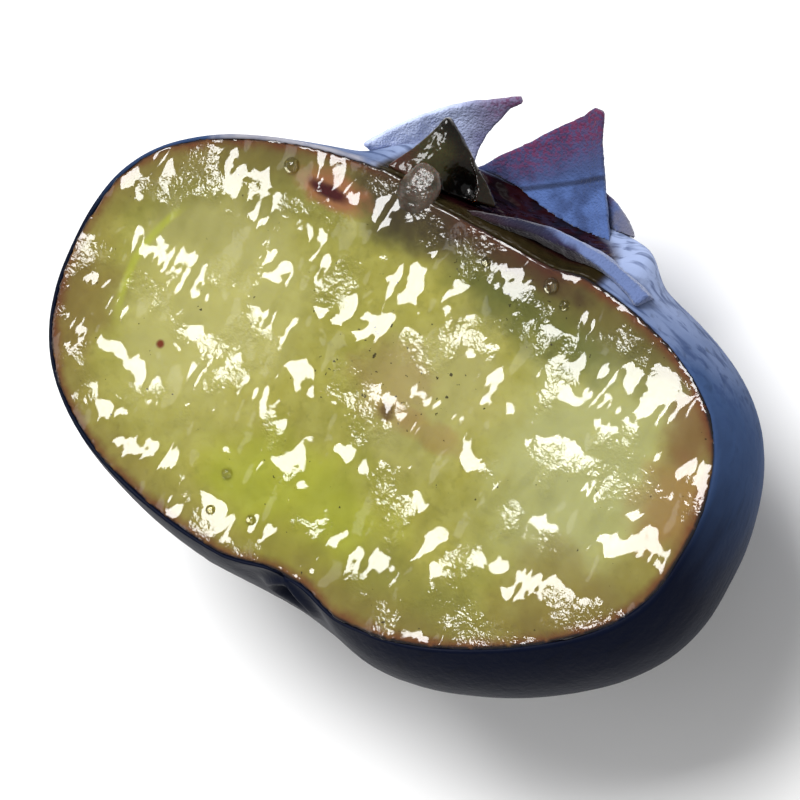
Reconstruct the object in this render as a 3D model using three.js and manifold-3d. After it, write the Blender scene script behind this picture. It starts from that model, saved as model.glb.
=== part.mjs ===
// Half of a fresh blueberry, cut from the calyx crown down to the stem scar, lying on its rounded back.
//
// Millimetres. +Z points up out of the cut face, +Y from the stem scar to the calyx crown, and +X across
// the fruit. The origin is the centre of the small flat spot that the fruit rests on.
// The flesh and skin are one grown solid. The five calyx lobes are leaf-like pieces on its rim.

import * as THREE from "three";
import Module from "manifold-3d";
import { mergeVertices } from "three/addons/utils/BufferGeometryUtils.js";

const { clamp, lerp, smoothstep } = THREE.MathUtils;

// ---- Driving dimensions -------------------------------------------------------------------------

// How far the cut face reaches from the middle of the core: about 17 mm across and 10 mm tall.
const REACH_RIGHT = 8.13;
const REACH_LEFT = 8.87;
const REACH_CALYX = 4.64;
const REACH_STEM = 5.43;
const DEPTH = 8.4; // from the cut face down to the flat resting spot
const FLAT_SPOT = 0.11; // how much of the rounded back the fruit's own weight has pressed flat

// Fullness of the outline in each quarter: 2 is an ellipse, and more is squarer.
const RIGHT_FULLNESS = { calyx: 2.9, stem: 1.9 };
const LEFT_FULLNESS = { calyx: 2.4, stem: 2.8 };

// How far the belly swells out beyond the cut edge, and how deep below the cut it is widest.
const RIGHT_BELLY = { calyx: 0.9, stem: 1.45 };
const LEFT_BELLY = { calyx: 0.2, stem: 0.3 };
const BELLY_DEPTH = 3.6;

// The calyx cup, a shallow round dish inside a raised collar.
const CUP_X = 0.5;
const CUP_RADIUS = 2.6;
const CUP_DEPTH = 0.25;
const COLLAR_RADIUS = 3.3;
const COLLAR_WIDTH = 0.5;
const COLLAR_HEIGHT = 0.6;
const COLLAR_CUT_BACK = 1.3; // the collar sinks to nothing over this depth below the knife's cut

// The stem scar, a pit inside a small raised ring, in the middle of a broad hollow behind the cut.
const SCAR_BEHIND = 0.85;
const SCAR_RADIUS = 0.55;
const SCAR_RING_HEIGHT = 0.35;
const SCAR_PIT_DEPTH = 0.35;
const STEM_HOLLOW_DEPTH = 0.75;
const STEM_HOLLOW_RADIUS = 1.25;

// Mesh fineness: rows run from the calyx to the stem, and columns run round the back and over the face.
const CROWN_ROWS = 16;
const BODY_ROWS = 18;
const SCAR_ROWS = 8;
const CROWN_SPREAD = 0.5; // radians from the calyx pole that the crown's rows cover
const SCAR_SPREAD = 0.2;
const COLUMNS = 80;
const BACK_SHARE = 0.7; // of the columns

// ---- Materials ----------------------------------------------------------------------------------

const finish = (color, roughness) => new THREE.MeshStandardMaterial({ color, roughness, metalness: 0 });
const berryFinish = finish(0x26324f, 0.5);
const sepalFinish = finish(0x5b6f9a, 0.8);
const cutSepalFinish = finish(0x3d3a1e, 0.35);

// ---- Fruit --------------------------------------------------------------------------------------

// Blends a side's calyx and stem values: lift is the angle above the fruit's waist.
function byLift({ calyx, stem }, lift) {
  return lerp(stem, calyx, clamp(0.5 + 0.5 * Math.sin(2 * lift), 0, 1));
}

// Blends a left and a right value round the fruit: around is 0 on the right and half a turn on the left.
function bySide(left, right, around) {
  return lerp(left, right, 0.5 + 0.5 * Math.cos(around));
}

// The radius of a unit superellipse towards an angle.
function superRadius(angle, fullness) {
  const c = Math.abs(Math.cos(angle));
  const s = Math.abs(Math.sin(angle));
  return (c ** fullness + s ** fullness) ** (-1 / fullness);
}

// A point on the fruit turned round its core, before its ends are shaped and its belly swells.
function turnedPoint(lift, around) {
  const fullness = bySide(byLift(LEFT_FULLNESS, lift), byLift(RIGHT_FULLNESS, lift), around);
  const r = superRadius(lift, fullness);
  const side = Math.abs(Math.cos(around)) * bySide(REACH_LEFT, REACH_RIGHT, around);
  const back = Math.abs(Math.sin(around)) * (DEPTH + FLAT_SPOT);
  const radius = Math.hypot(side, back) * Math.cos(lift) * r;
  const height = (lift > 0 ? REACH_CALYX : REACH_STEM) * Math.sin(lift) * r;
  const turn = Math.atan2(back * Math.sign(Math.sin(around)), side * Math.sign(Math.cos(around)));
  return new THREE.Vector3(radius * Math.cos(turn), height, -radius * Math.sin(turn));
}

const hump = (distance, width) => Math.exp(-((distance / width) ** 2));

// Raises the collar and sinks the cup at the calyx end, and does the same for the scar at the stem end.
function shapeEnds(p) {
  if (p.y > 0) {
    const fromCup = Math.hypot(p.x, p.z);
    const collar = COLLAR_HEIGHT * hump(fromCup - COLLAR_RADIUS, COLLAR_WIDTH);
    p.y += collar * smoothstep(-p.z, 0, COLLAR_CUT_BACK);
    p.y -= CUP_DEPTH * (1 - smoothstep(fromCup, 0.6 * CUP_RADIUS, CUP_RADIUS));
    p.x += CUP_X * hump(fromCup, 1.6 * COLLAR_RADIUS);
  } else {
    const fromScar = Math.hypot(p.x, p.z + SCAR_BEHIND);
    p.y -= SCAR_RING_HEIGHT * hump(fromScar - SCAR_RADIUS, 0.4 * SCAR_RADIUS);
    p.y += SCAR_PIT_DEPTH * hump(fromScar, 0.7 * SCAR_RADIUS);
    p.y += STEM_HOLLOW_DEPTH * hump(fromScar, STEM_HOLLOW_RADIUS);
  }
  return p;
}

// Pushes the belly out, most of all a little way below the cut.
function swellBelly(p) {
  const lift = Math.atan2(p.y / REACH_CALYX, Math.abs(p.x) / REACH_RIGHT);
  const around = Math.acos(clamp(p.x / Math.hypot(p.x, p.y, 0.001), -1, 1));
  const belly = bySide(byLift(LEFT_BELLY, lift), byLift(RIGHT_BELLY, lift), around);
  const below = Math.max(0, -p.z) / BELLY_DEPTH;
  const push = belly * below * Math.exp(1 - below) * Math.max(0, 1 - (p.z / DEPTH) ** 2);
  p.x += (push * p.x) / REACH_RIGHT;
  p.y += (push * p.y) / REACH_CALYX;
  return p;
}

// How high a row lies above the fruit's waist, as an angle from a quarter turn down to minus that.
function rowLift(row) {
  const waist = Math.PI - CROWN_SPREAD - SCAR_SPREAD;
  const inCrown = Math.min(row, CROWN_ROWS) / CROWN_ROWS;
  const inBody = clamp(row - CROWN_ROWS, 0, BODY_ROWS) / BODY_ROWS;
  const inScar = Math.max(row - CROWN_ROWS - BODY_ROWS, 0) / SCAR_ROWS;
  return Math.PI / 2 - CROWN_SPREAD * inCrown - waist * inBody - SCAR_SPREAD * inScar;
}

// How far round a column lies: the first half turn is the rounded back, and the second is the cut face.
function columnAngle(share) {
  if (share <= BACK_SHARE) return (Math.PI * share) / BACK_SHARE;
  return Math.PI * (1 + (share - BACK_SHARE) / (1 - BACK_SHARE));
}

// Moves the vertices of a ball whose poles are the calyx and the stem, and flattens its front.
function berryGeometry() {
  const rows = CROWN_ROWS + BODY_ROWS + SCAR_ROWS;
  const ball = new THREE.SphereGeometry(1, COLUMNS, rows);
  const { position, uv } = ball.attributes;
  for (let i = 0; i < position.count; i++) {
    const row = Math.round((1 - uv.getY(i)) * rows);
    const p = turnedPoint(rowLift(row), columnAngle(uv.getX(i)));
    p.z = clamp(p.z, -DEPTH, 0);
    swellBelly(shapeEnds(p));
    position.setXYZ(i, p.x, p.y, p.z);
  }
  return ball;
}

// ---- Calyx lobes --------------------------------------------------------------------------------

const SEPAL_THICKNESS = 0.42;

// Each lobe runs from its root on the collar through a bend to its tip. Facing is the way its inner
// side looks, curl hollows it on that side, and a taper over 1 draws its tip out into a finger.
const SEPALS = [
  {
    name: "sepal_back_left",
    root: [-2.75, 4.5, -2.1],
    bend: [-2.9, 6.2, -2.5],
    tip: [-1.25, 7.45, -2.0],
    facing: [0.7, 0, 0.7],
    width: 3.4,
    curl: 0.2,
    taper: 1.25,
  },
  {
    name: "sepal_back_right",
    root: [0.35, 4.7, -2.9],
    bend: [0.3, 6.4, -3.2],
    tip: [0.45, 8.1, -2.4],
    facing: [-0.15, 0, 1],
    width: 5.3,
    curl: 0.2,
    taper: 1.05,
  },
  {
    name: "sepal_right",
    root: [2.5, 4.7, -2.5],
    bend: [2.4, 5.8, -3.0],
    tip: [0.9, 6.5, -3.0],
    facing: [-0.6, 0, 1],
    width: 2.2,
    curl: 0.15,
    taper: 1,
  },
  {
    name: "sepal_front_folded",
    root: [4.3, 4.5, -0.8],
    bend: [2.1, 5.45, -0.7],
    tip: [-0.95, 4.25, -0.35],
    facing: [0, -1, 0.3],
    width: 1.7,
    curl: 0.1,
    taper: 0.8,
    thickness: 0.6,
  },
  {
    name: "sepal_left_cut",
    root: [-1.6, 4.6, -0.7],
    bend: [-1.75, 5.3, -0.7],
    tip: [-2.1, 6.25, -0.5],
    facing: [0.3, 0, 1],
    width: 3,
    curl: 0.0,
    taper: 1,
    material: cutSepalFinish,
    thickness: 1.0,
  },
];

// A thick leaf shape, bent out of a box: x is across, y from root to tip, and z through the thickness.
function sepalGeometry({ root, bend, tip, facing, width, curl, taper, thickness = SEPAL_THICKNESS }) {
  const spine = new THREE.QuadraticBezierCurve3(
    new THREE.Vector3(...root),
    new THREE.Vector3(...bend),
    new THREE.Vector3(...tip),
  );
  const leaf = new THREE.BoxGeometry(2, 1, 1, 8, 12, 2);
  const { position } = leaf.attributes;
  for (let i = 0; i < position.count; i++) {
    const u = position.getX(i);
    const v = position.getY(i) + 0.5;
    const w = position.getZ(i);
    const along = spine.getTangent(v);
    const wide = new THREE.Vector3().crossVectors(along, new THREE.Vector3(...facing)).normalize();
    const inward = new THREE.Vector3().crossVectors(wide, along);
    const half = (width / 2) * ((1 - v) ** taper * 0.95 + 0.05);
    const deep = thickness * (1 - 0.55 * v) * (1 - 0.45 * u * u);
    const p = spine.getPoint(v);
    p.addScaledVector(wide, u * half);
    p.addScaledVector(inward, curl * half * u * u + w * deep);
    position.setXYZ(i, p.x, p.y, p.z);
  }
  return leaf;
}

// ---- Assembly -----------------------------------------------------------------------------------

const wasm = await Module();
wasm.setup();

function toSolid(geometry) {
  const plain = geometry.clone();
  plain.deleteAttribute("normal");
  plain.deleteAttribute("uv");
  const merged = mergeVertices(plain, 1e-4);
  return new wasm.Manifold(
    new wasm.Mesh({
      numProp: 3,
      vertProperties: merged.attributes.position.array,
      triVerts: new Uint32Array(merged.index.array),
    }),
  );
}

function toGeometry(solid) {
  const mesh = solid.getMesh();
  const geometry = new THREE.BufferGeometry();
  geometry.setAttribute("position", new THREE.BufferAttribute(mesh.vertProperties, 3));
  geometry.setIndex(new THREE.BufferAttribute(mesh.triVerts, 1));
  geometry.computeVertexNormals();
  return geometry;
}

function named(name, geometry, material) {
  const mesh = new THREE.Mesh(geometry, material);
  mesh.name = name;
  return mesh;
}

// The fruit's own frame has its origin in the cut face. It stands on its back, DEPTH above the table.
const fruit = new THREE.Group();
fruit.position.z = DEPTH;

const berry = berryGeometry();
fruit.add(named("berry_half", berry, berryFinish));

// Each lobe's root is trimmed to the collar it grows from, and to the lobes placed before it.
let grown = toSolid(berry);
for (const sepal of SEPALS) {
  const lobe = toSolid(sepalGeometry(sepal)).subtract(grown);
  grown = grown.add(lobe);
  fruit.add(named(sepal.name, toGeometry(lobe), sepal.material ?? sepalFinish));
}

const blueberryHalf = new THREE.Group();
blueberryHalf.add(fruit);

export default blueberryHalf;
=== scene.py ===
import math

import bpy
from mathutils import Matrix, Vector, kdtree


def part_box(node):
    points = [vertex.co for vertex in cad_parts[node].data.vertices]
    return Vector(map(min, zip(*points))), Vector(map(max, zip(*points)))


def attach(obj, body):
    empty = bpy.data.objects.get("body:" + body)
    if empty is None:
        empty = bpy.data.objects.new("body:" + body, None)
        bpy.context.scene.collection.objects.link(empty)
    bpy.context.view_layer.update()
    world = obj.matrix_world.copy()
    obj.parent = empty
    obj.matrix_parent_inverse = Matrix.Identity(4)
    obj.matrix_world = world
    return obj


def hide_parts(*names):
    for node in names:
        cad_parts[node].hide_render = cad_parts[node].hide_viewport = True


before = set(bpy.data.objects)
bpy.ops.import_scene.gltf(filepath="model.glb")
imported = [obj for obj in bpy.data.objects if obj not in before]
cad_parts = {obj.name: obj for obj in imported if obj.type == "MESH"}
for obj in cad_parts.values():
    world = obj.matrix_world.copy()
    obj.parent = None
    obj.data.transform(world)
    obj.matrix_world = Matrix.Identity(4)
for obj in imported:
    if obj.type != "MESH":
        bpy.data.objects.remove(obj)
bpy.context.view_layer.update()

# ---- Skin ---------------------------------------------------------------------------------------
# A thin tough skin round the back of the half, cut off level with the flesh. It is dark blue under a pale
# waxy bloom, rubbed off in streaks. The bloom is painted paler towards the calyx as painted light on the
# lit top, and darker towards the stem end as painted shade on the underside.

MM = 0.001
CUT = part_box("berry_half")[1].z  # the height of the knife's cut
SKIN = 0.09 * MM  # how thick the skin is
CUP_X = 0.5  # the middle of the calyx cup, in millimetres to the right of the middle of the cut


def select_only(piece):
    bpy.ops.object.select_all(action="DESELECT")
    piece.select_set(True)
    bpy.context.view_layer.objects.active = piece


def grown_copy(node, name):
    """A separate copy of a CAD node, with its loose triangles merged."""
    piece = bpy.data.objects.new(name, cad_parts[node].data.copy())
    bpy.context.scene.collection.objects.link(piece)
    piece.data.materials.clear()
    select_only(piece)
    bpy.ops.object.mode_set(mode="EDIT")
    bpy.ops.mesh.select_all(action="SELECT")
    bpy.ops.mesh.remove_doubles(threshold=0.001 * MM)
    bpy.ops.mesh.tris_convert_to_quads()
    bpy.ops.object.mode_set(mode="OBJECT")
    return piece


def modify(piece, kind, **settings):
    """Adds a modifier and applies it."""
    select_only(piece)
    modifier = piece.modifiers.new(kind.lower(), kind)
    for key, value in settings.items():
        setattr(modifier, key, value)
    bpy.ops.object.modifier_apply(modifier=modifier.name)


def roughen(piece, pattern, size, height, direction="NORMAL", group="", depth=2):
    """Raises and lowers the surface by a cloudy pattern, given in millimetres."""
    texture = bpy.data.textures.new(f"{piece.name}_{pattern.lower()}", pattern)
    texture.noise_scale = size * MM
    if pattern == "CLOUDS":
        texture.noise_depth = depth
        texture.noise_basis = "IMPROVED_PERLIN"
    modify(piece, "DISPLACE", texture=texture, texture_coords="LOCAL", direction=direction,
           strength=height * MM, mid_level=0.5, vertex_group=group)


def smooth_shade(piece):
    select_only(piece)
    bpy.ops.object.shade_smooth()


skin = grown_copy("berry_half", "berry_skin")
bpy.ops.object.mode_set(mode="EDIT")
bpy.ops.mesh.select_mode(type="FACE")
bpy.ops.mesh.select_all(action="DESELECT")
bpy.ops.object.mode_set(mode="OBJECT")
for p in skin.data.polygons:
    p.select = all(skin.data.vertices[i].co.z > CUT - 0.01 * MM for i in p.vertices)
bpy.ops.object.mode_set(mode="EDIT")
bpy.ops.mesh.delete(type="FACE")
bpy.ops.object.mode_set(mode="OBJECT")
modify(skin, "SUBSURF", levels=2, render_levels=2)

# The line of the cut edge, kept for the flesh's colours.
faces_on = {}
for p in skin.data.polygons:
    for key in p.edge_keys:
        faces_on[key] = faces_on.get(key, 0) + 1
rim_edges = [key for key, faces in faces_on.items() if faces == 1]
rim = kdtree.KDTree(len(rim_edges) * 2)
for i, (start, end) in enumerate(rim_edges):
    start, end = skin.data.vertices[start].co, skin.data.vertices[end].co
    rim.insert(start, 2 * i)
    rim.insert((start + end) / 2, 2 * i + 1)
rim.balance()

modify(skin, "SOLIDIFY", thickness=SKIN, offset=-1)
roughen(skin, "CLOUDS", 1.4, 0.05)
smooth_shade(skin)


def tint(code):
    """A colour from its six-digit code, in the renderer's linear values."""
    parts = [int(code[i:i + 2], 16) / 255 for i in (0, 2, 4)]
    return (*[p / 12.92 if p < 0.04045 else ((p + 0.055) / 1.055) ** 2.4 for p in parts], 1)


class Wire:
    """A shader socket. Arithmetic on it adds Math nodes."""

    def __init__(self, finish, socket):
        self.finish = finish
        self.socket = socket

    def math(self, operation, first, second=0.0):
        return self.finish.node("Math", {"operation": operation}, {0: first, 1: second})

    def __add__(self, other):
        return self.math("ADD", self, other)

    def __sub__(self, other):
        return self.math("SUBTRACT", self, other)

    def __rsub__(self, other):
        return self.math("SUBTRACT", other, self)

    def __mul__(self, other):
        return self.math("MULTIPLY", self, other)

    def __truediv__(self, other):
        return self.math("DIVIDE", self, other)

    def __pow__(self, other):
        return self.math("POWER", self, other)

    def __abs__(self):
        return self.math("ABSOLUTE", self)

    __radd__ = __add__
    __rmul__ = __mul__


class Finish:
    """A material built up in layers, in millimetres from the middle of the cut."""

    def __init__(self, name, base, roughness, **uniform):
        self.material = bpy.data.materials.new(name)
        self.material.use_nodes = True
        self.tree = self.material.node_tree
        self.shader = self.tree.nodes["Principled BSDF"]
        self.colour = base
        self.roughness = roughness
        for socket, value in uniform.items():
            self.shader.inputs[socket.replace("_", " ")].default_value = value
        place = self.node("TexCoord", output="Object")
        scaled = self.node("VectorMath", {"operation": "SCALE"}, {0: place, "Scale": 1 / MM})
        self.place = self.node("VectorMath", {"operation": "SUBTRACT"}, {0: scaled, 1: (0, 0, CUT / MM)})
        self.x, self.y, self.z = (self.node("SeparateXYZ", {}, {0: self.place}, i) for i in range(3))

    def node(self, kind, settings=None, inputs=None, output=0):
        made = self.tree.nodes.new("ShaderNode" + kind)
        for key, value in (settings or {}).items():
            setattr(made, key, value)
        for key, value in (inputs or {}).items():
            if isinstance(value, Wire):
                self.tree.links.new(value.socket, made.inputs[key])
            else:
                made.inputs[key].default_value = value
        return Wire(self, made.outputs[output])

    def noise(self, size, detail=3.0, stretch=(1, 1, 1), shift=(0, 0, 0), twist=0.0):
        """Cloudy noise from 0 to 1 with blotches of about this size in millimetres."""
        place = self.node("Mapping", {}, {"Vector": self.place, "Location": shift,
                                          "Scale": [1 / (size * s) for s in stretch]})
        inputs = {"Vector": place, "Scale": 1.0, "Detail": detail, "Distortion": twist}
        return self.node("TexNoise", {}, inputs)

    def step(self, value, low, high):
        """0 below low, 1 above high, and a soft ramp between them."""
        return self.node("MapRange", {"interpolation_type": "SMOOTHSTEP"}, {0: value, 1: low, 2: high})

    def spot(self, x, y, width, height, ragged=0.6, size=0.8, soft=0.9):
        """A ragged soft oval: 1 in its middle and 0 outside."""
        far = ((self.x - x) / width) ** 2 + ((self.y - y) / height) ** 2
        far = far + (self.noise(size, shift=(x, y, 3)) - 0.5) * (4 * ragged)
        return 1 - self.step(far, 1 - soft, 1 + soft)

    def paint(self, mask, colour):
        self.colour = self.node("Mix", {"data_type": "RGBA"}, {0: mask, 6: self.colour, 7: colour}, 2)

    def bump(self, height, distance, strength=1.0):
        """Height, from 0 to 1, raises the surface by this distance in millimetres."""
        inputs = {"Height": height, "Distance": distance * MM, "Strength": strength}
        bumped = self.node("Bump", {}, inputs)
        self.tree.links.new(bumped.socket, self.shader.inputs["Normal"])

    def done(self):
        for socket, value in (("Base Color", self.colour), ("Roughness", self.roughness)):
            if isinstance(value, Wire):
                self.tree.links.new(value.socket, self.shader.inputs[socket])
            else:
                self.shader.inputs[socket].default_value = value
        return self.material


def hand_in(piece, material, slot, *nodes):
    piece.data.materials.append(material)
    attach(piece, "root")
    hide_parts(*nodes)


def skin_finish():
    blue = Finish("bloomed_skin", tint("050b1e"), 0.4, Specular_IOR_Level=0.06)
    streaks = blue.noise(0.35, 4, stretch=(1, 6, 1), twist=0.3)
    patches = blue.noise(2.4, 4, shift=(2, 0, 0))
    # pale waxy bloom in patches and streaks, with painted light: painted paler towards the calyx, the lit
    # top, and darker towards the stem end, the shaded underside
    bloom_and_top_light = blue.step(blue.y + patches * 2.0 + streaks * 1.5, 1.2, 6.0)
    blue.paint(bloom_and_top_light * 0.9, tint("3a5078"))
    # painted light: the palest bloom colour, on the lit top of the skin towards the calyx
    high = blue.step(blue.y + patches * 2.0, 4.4, 7.0)
    blue.paint(high * 0.8, tint("a4b2d6"))
    blue.paint(blue.step(streaks, 0.55, 0.75) * 0.35, tint("060913"))
    scuffs = blue.noise(0.22, 4, stretch=(7, 1, 1), shift=(0, 3, 0), twist=0.4)
    blue.paint(blue.step(scuffs, 0.48, 0.66) * blue.step(blue.y, 2.6, 4.2) * 0.65, tint("26375e"))
    # the pale dry edge at the upper left, where the skin stands clear of the flesh
    edge = blue.step(blue.z, -0.3, -0.03) * blue.spot(-5.0, 3.9, 2.2, 1.0, ragged=1.0, size=0.5, soft=0.9)
    blue.paint(edge * 0.75, tint("a09da3"))
    # inside the calyx cup: dark wine red, smooth and wet
    cup = ((blue.x - CUP_X) ** 2 + blue.z ** 2) ** 0.5
    rough_edge = (patches - 0.5) * 0.5 + blue.step(blue.x, 0.6, 2.2) * 0.55
    inside = (1 - blue.step(cup + rough_edge, 3.2, 3.5)) * blue.step(blue.y, 3.6, 3.9)
    blue.paint(inside, tint("21090d"))
    blue.paint(inside * blue.step(blue.noise(0.7, 3, shift=(4, 0, 0)), 0.5, 0.62) * 0.8, tint("0b0608"))
    blue.paint(inside * blue.step(blue.z + patches * 0.3, -0.5, -0.1) * 0.85, tint("2a2412"))
    blue.roughness = 0.5 + bloom_and_top_light * 0.2 - inside * 0.58
    blue.bump(blue.noise(0.12, 3) * 0.5 + streaks + inside * blue.noise(0.45, 1) * 8, 0.02)
    return blue.done()


hand_in(skin, skin_finish(), "skin", "berry_half")

# ---- Flesh --------------------------------------------------------------------------------------
# The wet green inside of the half berry. It is soft, see-through tissue, bared by one stroke of a knife,
# and its cut cells stand up in low ridges under a film of juice. It fills the skin right to the edge.

SLAB = 1.3 * MM  # how deep the flesh is modelled under the cut: the rest is out of sight in the skin
GRAIN = 0.075 * MM  # the finest detail of the cut face
STRAND_RADIUS = 3.3  # the curve of the vessel strand, in millimetres

flesh = grown_copy("berry_half", "berry_flesh")
bpy.ops.object.mode_set(mode="EDIT")
bpy.ops.mesh.select_all(action="SELECT")
bpy.ops.mesh.bisect(plane_co=(0, 0, CUT - SLAB), plane_no=(0, 0, 1), clear_inner=True, use_fill=True)
bpy.ops.mesh.select_all(action="SELECT")
bpy.ops.transform.resize(value=(0.991, 0.985, 1), center_override=(0, 0, CUT))
bpy.ops.object.mode_set(mode="OBJECT")
modify(flesh, "REMESH", mode="VOXEL", voxel_size=GRAIN)

wet_face = flesh.vertex_groups.new(name="wet")
wet_face.add([v.index for v in flesh.data.vertices if v.co.z > CUT - 0.5 * GRAIN], 1, "REPLACE")
for size, height, depth in ((3.0, 0.22, 1), (1.2, 0.20, 0), (0.55, 0.08, 1)):
    roughen(flesh, "CLOUDS", size, height, direction="Z", group="wet", depth=depth)

# The distance of every point of the face from the skin, for the colours that follow the rim.
from_skin = flesh.data.attributes.new("from_skin", "FLOAT", "POINT")
for v in flesh.data.vertices:
    from_skin.data[v.index].value = rim.find(Vector((v.co.x, v.co.y, CUT)))[2] / MM
smooth_shade(flesh)


def flesh_finish():
    wet = Finish("wet_flesh", tint("918c3e"), 0.05, Subsurface_Weight=0.8, Subsurface_Scale=0.45 * MM,
                 Subsurface_Radius=(1.0, 0.9, 0.35), IOR=1.5)
    from_rim = wet.node("Attribute", {"attribute_name": "from_skin"}, output="Fac")
    broad = wet.noise(3.0, 4)
    fine = wet.noise(0.5, 4)
    wet.paint(wet.step(broad, 0.42, 0.68) * 0.6, tint("7c7a34"))
    wet.paint(wet.step(fine, 0.35, 0.7) * 0.35, tint("a9a65c"))
    wet.paint(wet.step(wet.noise(0.2, 3, shift=(0, 0, 5)), 0.5, 0.72) * 0.3, tint("6f6a2a"))
    wet.paint(wet.spot(-6.6, 2.3, 2.4, 1.6, size=1.2) * 0.6, tint("5f5a2a"))
    # the pale, milky middles of the two halves, and the brightest green by the stem
    wet.paint(wet.spot(5.2, 0.9, 2.2, 3.0, size=1.5) * 0.75, tint("a3a472"))
    wet.paint(wet.spot(-4.9, -0.4, 2.2, 2.6, size=1.5) * 0.7, tint("a8a468"))
    wet.paint(wet.spot(1.2, 0.6, 1.5, 1.8, size=1.0) * 0.55, tint("a19c68"))
    wet.paint(wet.spot(-0.6, -3.5, 2.4, 1.5, size=1.2) * 0.6, tint("959b22"))
    wet.paint(wet.spot(2.7, -4.1, 2.2, 1.0, size=1.0) * 0.6, tint("6e6a2c"))
    wet.paint(wet.spot(6.4, -2.3, 1.8, 1.3, size=1.0) * 0.6, tint("72602f"))
    # olive and brown towards the calyx and round the rim
    wet.paint(wet.step(wet.y + broad * 2.0, 3.5, 5.2) * 0.9, tint("42421e"))
    wet.paint(wet.spot(2.7, 3.4, 2.6, 1.0) * 0.65, tint("424a1c"))
    wet.paint((1 - wet.step(from_rim + (broad - 0.5) * 2.4, 0.1, 1.5)) * 0.55, tint("6c5a2e"))
    wet.paint(wet.spot(7.2, 0.9, 0.8, 1.1) * 0.6, tint("8a6136"))
    wet.paint(wet.spot(6.9, 2.7, 0.6, 0.9) * 0.6, tint("6e4226"))
    wet.paint(wet.spot(-7.9, -1.9, 0.9, 1.4) * 0.6, tint("6a5428"))
    wet.paint((1 - wet.step(from_rim + (fine - 0.5) * 0.3, 0.08, 0.42)) * 0.85, tint("5e2a18"))
    wet.paint(1 - wet.step(from_rim, 0.08, 0.17), tint("120d10"))
    # the faint strand of vessels that curves through the left half
    ring = ((wet.x + 3.9) ** 2 + (wet.y + 0.35) ** 2) ** 0.5
    strand = (1 - wet.step(abs(ring - STRAND_RADIUS), 0.02, 0.16)) * (1 - wet.step(wet.x, -6.9, -6.2))
    wet.paint(strand * (1 - wet.step(wet.y, 0.9, 1.6)) * wet.step(wet.y, -2.2, -0.8) * 0.6, tint("a2a834"))
    # the tan core with its dark specks
    wet.paint(wet.spot(0.0, 0.2, 1.0, 0.9, size=0.5) * 0.5, tint("8f7850"))
    wet.paint(wet.spot(1.2, -0.4, 1.1, 0.3, ragged=1.0, size=0.5) * 0.4, tint("8a6334"))
    wet.paint(wet.spot(0.2, -0.45, 0.22, 0.2, size=0.2) * 0.9, tint("5a4522"))
    crowd = wet.spot(-0.1, 0.5, 1.7, 1.3) + wet.spot(1.0, 3.3, 1.6, 0.8)
    specks = wet.step(wet.noise(0.16, 2) + crowd * 0.07, 0.73, 0.77)
    wet.paint(specks * 0.9, tint("2a2012"))
    # the red-brown stain at the calyx, and the dark slit in it
    wet.paint(wet.spot(-1.6, 3.9, 1.5, 0.8) * 0.85, tint("352a1a"))
    wet.paint(wet.spot(1.2, 4.1, 2.0, 0.35, size=0.5) * 0.75, tint("3a1c12"))
    wet.paint(wet.spot(-3.6, 3.45, 0.9, 0.42, size=0.4) * 0.9, tint("8a5a3c"))
    wet.paint(wet.spot(-3.65, 3.38, 0.55, 0.16, ragged=0.3, size=0.3), tint("3d0c0e"))
    wet.paint(wet.spot(-5.62, -1.72, 0.1, 0.1, ragged=0.3, size=0.2), tint("6a2c12"))
    # cut cells: long soft ridges everywhere, and patches of fine broken ones
    rough_patches = wet.step(wet.noise(1.6, 2, shift=(0, 7, 0)), 0.5, 0.62)
    cells = wet.noise(0.13, 2) * rough_patches
    ridges = wet.noise(0.8, 1, stretch=(1, 2.4, 1), twist=0.4)
    swells = wet.noise(1.5, 0, shift=(3, 1, 0))
    wet.bump(cells * 0.24 + ridges + swells * 1.6, 0.15)
    return wet.done()


hand_in(flesh, flesh_finish(), "flesh", "berry_half")

# ---- Calyx lobes --------------------------------------------------------------------------------
# Five fleshy, velvety lobes stand round the cup. They grew from the collar, and they are blue-grey with
# crimson speckles towards their tips. The knife went through one, and the one beside the cut is folded.


def sepal_piece(node):
    piece = grown_copy(node, node.replace("sepal", "calyx_lobe"))
    modify(piece, "REMESH", mode="VOXEL", voxel_size=0.045 * MM)
    modify(piece, "SMOOTH", factor=0.5, iterations=4)
    roughen(piece, "CLOUDS", 0.9, 0.16)
    roughen(piece, "CLOUDS", 0.25, 0.03)
    smooth_shade(piece)
    return piece


def velvet_finish(node, low, high, blush, reach):
    """Blue-grey velvet with blotches, speckled over the given distance from the tip."""
    tip = max((v.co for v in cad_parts[node].data.vertices), key=lambda p: p.y) / MM
    velvet = Finish(node.replace("sepal", "velvet"), tint(low), 0.75, Sheen_Weight=0.3, Sheen_Roughness=0.4,
                    Specular_IOR_Level=0.2)
    blotch = velvet.noise(0.8, 4)
    velvet.paint(velvet.step(blotch, 0.42, 0.65) * 0.7, tint(high))
    far = velvet.node("VectorMath", {"operation": "DISTANCE"},
                      {0: velvet.place, 1: (tip.x, tip.y, tip.z - CUT / MM)}, "Value")
    near_tip = 1 - velvet.step(far + (blotch - 0.5) * 1.2, 0.1, reach)
    speckle = velvet.step(velvet.noise(0.09, 2), 0.42, 0.6)
    velvet.paint(near_tip * (0.45 + speckle * 0.55), tint(blush))
    # the foot of the lobe, in the wet cup
    cup = ((velvet.x - CUP_X) ** 2 + velvet.z ** 2) ** 0.5
    velvet.paint((1 - velvet.step(cup, 2.4, 2.9)) * (1 - velvet.step(velvet.y, 4.5, 5.1)), tint("200b14"))
    velvet.bump(velvet.noise(0.06, 2) + blotch, 0.05)
    return velvet, speckle, blotch


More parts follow.
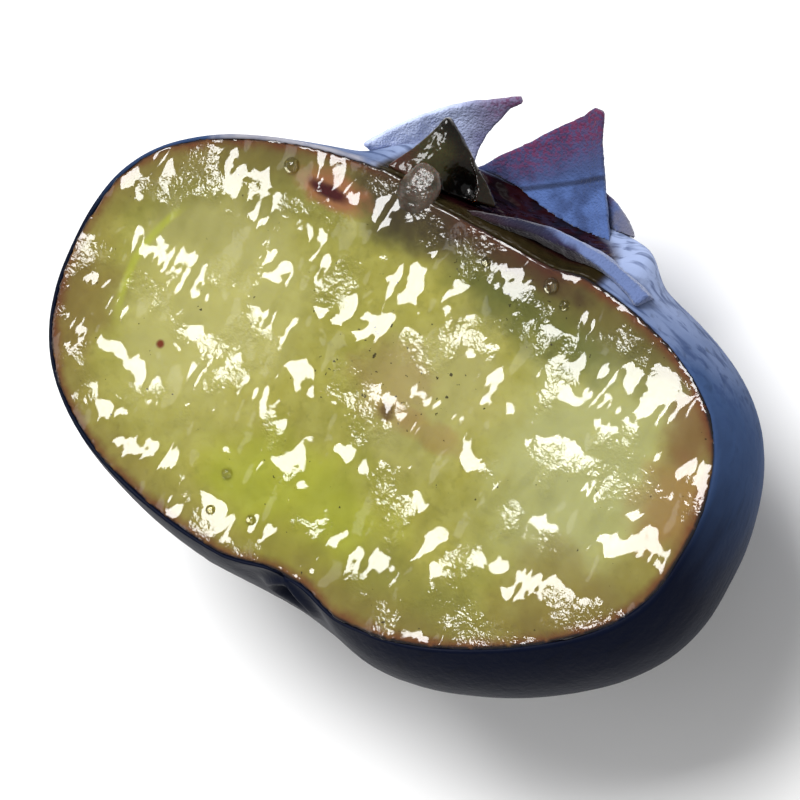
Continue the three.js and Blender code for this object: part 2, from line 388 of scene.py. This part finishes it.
for node, low, high, blush, reach in (
    ("sepal_back_left", "c0ccee", "8c98c4", "8c1c38", 1.3),
    ("sepal_back_right", "4a6298", "243258", "5c1c38", 1.6),
    ("sepal_right", "4c5a84", "6b6770", "50182a", 1.0),
    # painted shade: this folded lobe's dark navy colours stand for the shade on its underside
    ("sepal_front_folded", "141a34", "222a50", "2c1838", 1.2),
):
    lobe = sepal_piece(node)
    velvet, speckle, blotch = velvet_finish(node, low, high, blush, reach)
    if node == "sepal_back_left":
        # darker and more purple towards its right-hand end
        velvet.paint(velvet.step(velvet.x + velvet.y * 0.3 + blotch, -0.6, 0.7) * 0.7, tint("4a3a62"))
    if node == "sepal_back_right":
        # a crease across the middle, drawn as a dark line of painted shade, darker above it, and crimson
        # speckles down the left edge
        above = (velvet.y - 5.95) * 0.845 - (velvet.x - 0.1) * 0.536
        velvet.paint(velvet.step(above, -0.1, 0.3) * 0.6, tint("262a48"))
        # painted shade: the dark line along the crease
        velvet.paint((1 - velvet.step(abs(above), 0.02, 0.11)) * 0.7, tint("12162a"))
        from_edge = (velvet.x + 2.3) * 0.778 - (velvet.y - 4.7) * 0.629
        edge = (1 - velvet.step(from_edge, 0.1, 1.1)) * velvet.step(velvet.y, 5.2, 6.4)
        velvet.paint(edge * (0.2 + speckle * 0.6), tint("66264a"))
    if node == "sepal_front_folded":
        # painted highlight: its upper edge along the fold is painted lit lavender, where light falls on it
        ridge = velvet.y - 4.91 + (velvet.x - 1.9) ** 2 * 0.0775
        lit = ridge + (velvet.x - 1.4) * 0.12 + (blotch - 0.5) * 0.5
        velvet.paint(velvet.step(lit, 0.1, 0.3) * 0.8, tint("6678a6"))
    hand_in(lobe, velvet.done(), "sepal", node)

# ---- Cut calyx lobe -----------------------------------------------------------------------------
# The knife split this lobe, so its wet dark olive inside shows, edged with near-black skin. It grew from
# the collar like the others, and a small round hollow opens in its foot, painted near-black as painted
# shade.

HOLLOW = (-1.05, 4.96)  # the hollow in the lobe's foot, in millimetres
HOLLOW_RADIUS = 0.42
def dent(piece, x, y, radius, depth):
    """Presses a round hollow into the cut side of a piece, given in millimetres."""
    for v in piece.data.vertices:
        far = math.hypot(v.co.x / MM - x, v.co.y / MM - y) / radius
        if v.co.z > CUT - 0.6 * MM:
            v.co.z -= depth * MM * math.exp(-far * far)


cut_lobe = sepal_piece("sepal_left_cut")
dent(cut_lobe, *HOLLOW, HOLLOW_RADIUS, 0.6)
olive = Finish("cut_lobe_flesh", tint("1c160d"), 0.12, Subsurface_Weight=0.4, Subsurface_Scale=0.3 * MM,
               Specular_IOR_Level=0.3)
olive.paint(olive.spot(-1.9, 5.0, 0.5, 0.9, size=0.4) * 0.8, tint("37341a"))
olive.paint(olive.spot(-2.6, 4.7, 0.5, 0.6, size=0.4) * 0.8, tint("40241c"))
olive.paint(olive.step(olive.y, 5.5, 6.1) * 0.8, tint("070605"))
# painted shade: the hollow is painted near-black for the shadow inside it
olive.paint(olive.spot(*HOLLOW, HOLLOW_RADIUS, 0.5, ragged=0.2, size=0.3), tint("050404"))
olive.bump(olive.noise(0.4, 2), 0.12)
hand_in(cut_lobe, olive.done(), "cut_sepal", "sepal_left_cut")

# ---- Pith ---------------------------------------------------------------------------------------
# A grey-tan knob of pith at the foot of the cut lobe, where the core meets the cup. It is soft wet tissue,
# part of the flesh, and the knife left it standing.

PITH_RADIUS = 0.46 * MM
bpy.ops.mesh.primitive_uv_sphere_add(segments=48, ring_count=32, radius=PITH_RADIUS)
pith = bpy.context.object
pith.name = "pith_knob"
bpy.ops.object.mode_set(mode="EDIT")
bpy.ops.mesh.select_all(action="SELECT")
bpy.ops.transform.resize(value=(1.1, 1.4, 0.5), center_override=(0, 0, 0))
bpy.ops.transform.translate(value=(-1.72 * MM, 4.42 * MM, CUT - 0.06 * MM))
bpy.ops.object.mode_set(mode="OBJECT")
roughen(pith, "CLOUDS", 0.4, 0.15)
smooth_shade(pith)
tan = Finish("wet_pith", tint("4d4237"), 0.15, Subsurface_Weight=0.8, Subsurface_Scale=0.4 * MM)
tan.paint(tan.step(tan.noise(0.3, 3), 0.4, 0.7), tint("352c20"))
tan.bump(tan.noise(0.1, 3), 0.03)
hand_in(pith, tan.done(), "flesh", "berry_half")

# ---- Stem scar ----------------------------------------------------------------------------------
# The dark corky plug where the stalk broke away. It is grown into the skin, and it is sunk in its hollow at
# the end away from the calyx.

SCAR_RADIUS = 0.42 * MM
bpy.ops.mesh.primitive_uv_sphere_add(segments=48, ring_count=32, radius=SCAR_RADIUS)
scar = bpy.context.object
scar.name = "stem_scar"
bpy.ops.object.mode_set(mode="EDIT")
bpy.ops.mesh.select_all(action="SELECT")
bpy.ops.transform.resize(value=(1.1, 0.6, 1), center_override=(0, 0, 0))
bpy.ops.transform.translate(value=(-0.35 * MM, -4.95 * MM, CUT - 0.8 * MM))
bpy.ops.object.mode_set(mode="OBJECT")
roughen(scar, "CLOUDS", 0.3, 0.15)
smooth_shade(scar)
cork = Finish("corky_scar", tint("15130f"), 0.35)
cork.paint(cork.step(cork.noise(0.3, 3), 0.45, 0.7) * 0.6, tint("4a463c"))
cork.bump(cork.noise(0.1, 3), 0.03)
hand_in(scar, cork.done(), "skin", "berry_half")

# ---- Juice --------------------------------------------------------------------------------------
# Clear beads of juice, pressed out by the knife. They cling to the cut flesh near its edge, each sitting
# half sunk in the wet surface.

BEADS = (  # the place and radius of each bead, in millimetres
    (-4.8, 3.49, 0.2),
    (-2.55, -3.57, 0.14),
    (-2.5, -4.51, 0.12),
    (-1.46, -4.23, 0.13),
    (2.3, 3.95, 0.2),
    (2.8, 3.7, 0.13),
    (0.6, 3.7, 0.12),
)
water = Finish("clear_juice", tint("f4f0d0"), 0.02, Transmission_Weight=1.0, IOR=1.34)
clear = water.done()
for i, (x, y, radius) in enumerate(BEADS):
    landing = flesh.ray_cast(Vector((x * MM, y * MM, CUT + 2 * MM)), Vector((0, 0, -1)))[1]
    bpy.ops.mesh.primitive_uv_sphere_add(segments=24, ring_count=16, radius=radius * MM)
    bead = bpy.context.object
    bead.name = f"juice_bead_{i + 1}"
    bpy.ops.object.mode_set(mode="EDIT")
    bpy.ops.mesh.select_all(action="SELECT")
    bpy.ops.transform.resize(value=(1, 1, 0.7), center_override=(0, 0, 0))
    bpy.ops.transform.translate(value=landing)
    bpy.ops.object.mode_set(mode="OBJECT")
    smooth_shade(bead)
    hand_in(bead, clear, "juice", "berry_half")

# ---- Floor, lights and camera -------------------------------------------------------------------
# A plain pale table, an even white room, one bright soft lamp beyond the calyx and a weak one at the side.
# None of it is part of the berry.

bpy.ops.mesh.primitive_plane_add(size=1.2, location=(0, 0, 0))
floor = bpy.context.object
floor.name = "floor"
paper = Finish("pale_table", tint("f4f4f4"), 0.8)
floor.data.materials.append(paper.done())

world = bpy.data.worlds.new("white_room")
world.use_nodes = True
world.node_tree.nodes["Background"].inputs["Color"].default_value = (1, 1, 1, 1)
world.node_tree.nodes["Background"].inputs["Strength"].default_value = 0.45
bpy.context.scene.world = world
bpy.context.scene.view_settings.view_transform = "Standard"

middle = Vector((0.37 * MM, -0.06 * MM, CUT))


def direction(plan, height):
    """A unit vector from a compass angle, counted from +X towards +Y, and a height, in degrees."""
    plan, height = math.radians(plan), math.radians(height)
    return Vector((math.cos(plan) * math.cos(height), math.sin(plan) * math.cos(height), math.sin(height)))


def lamp(name, plan, height, distance, size, brightness):
    """A square soft lamp. Brightness is how bright its face looks."""
    light = bpy.data.lights.new(name, "AREA")
    light.size = size
    light.energy = brightness * math.pi * size * size
    holder = bpy.data.objects.new(name, light)
    bpy.context.scene.collection.objects.link(holder)
    toward = direction(plan, height)
    holder.location = middle + toward * distance
    holder.rotation_euler = toward.to_track_quat("Z", "Y").to_euler()


lamp("window_lamp", 135, 64, 0.30, 0.14, 18.5)
lamp("side_lamp", 200, 35, 0.40, 0.20, 1.5)

LENS = 200  # millimetres, on a 36 mm wide sensor
VIEW_WIDTH = 18.56 * MM
camera_data = bpy.data.cameras.new("camera")
camera_data.lens = LENS
camera_data.clip_start = 0.001
camera = bpy.data.objects.new("camera", camera_data)
bpy.context.scene.collection.objects.link(camera)
back = direction(9.4, 70)
up = direction(120.15, 0)
right = up.cross(back).normalized()
up = back.cross(right)
spin = Matrix((right, up, back)).transposed().to_4x4()
camera.matrix_world = Matrix.Translation(middle + back * (VIEW_WIDTH * LENS / 36)) @ spin
bpy.context.scene.camera = camera
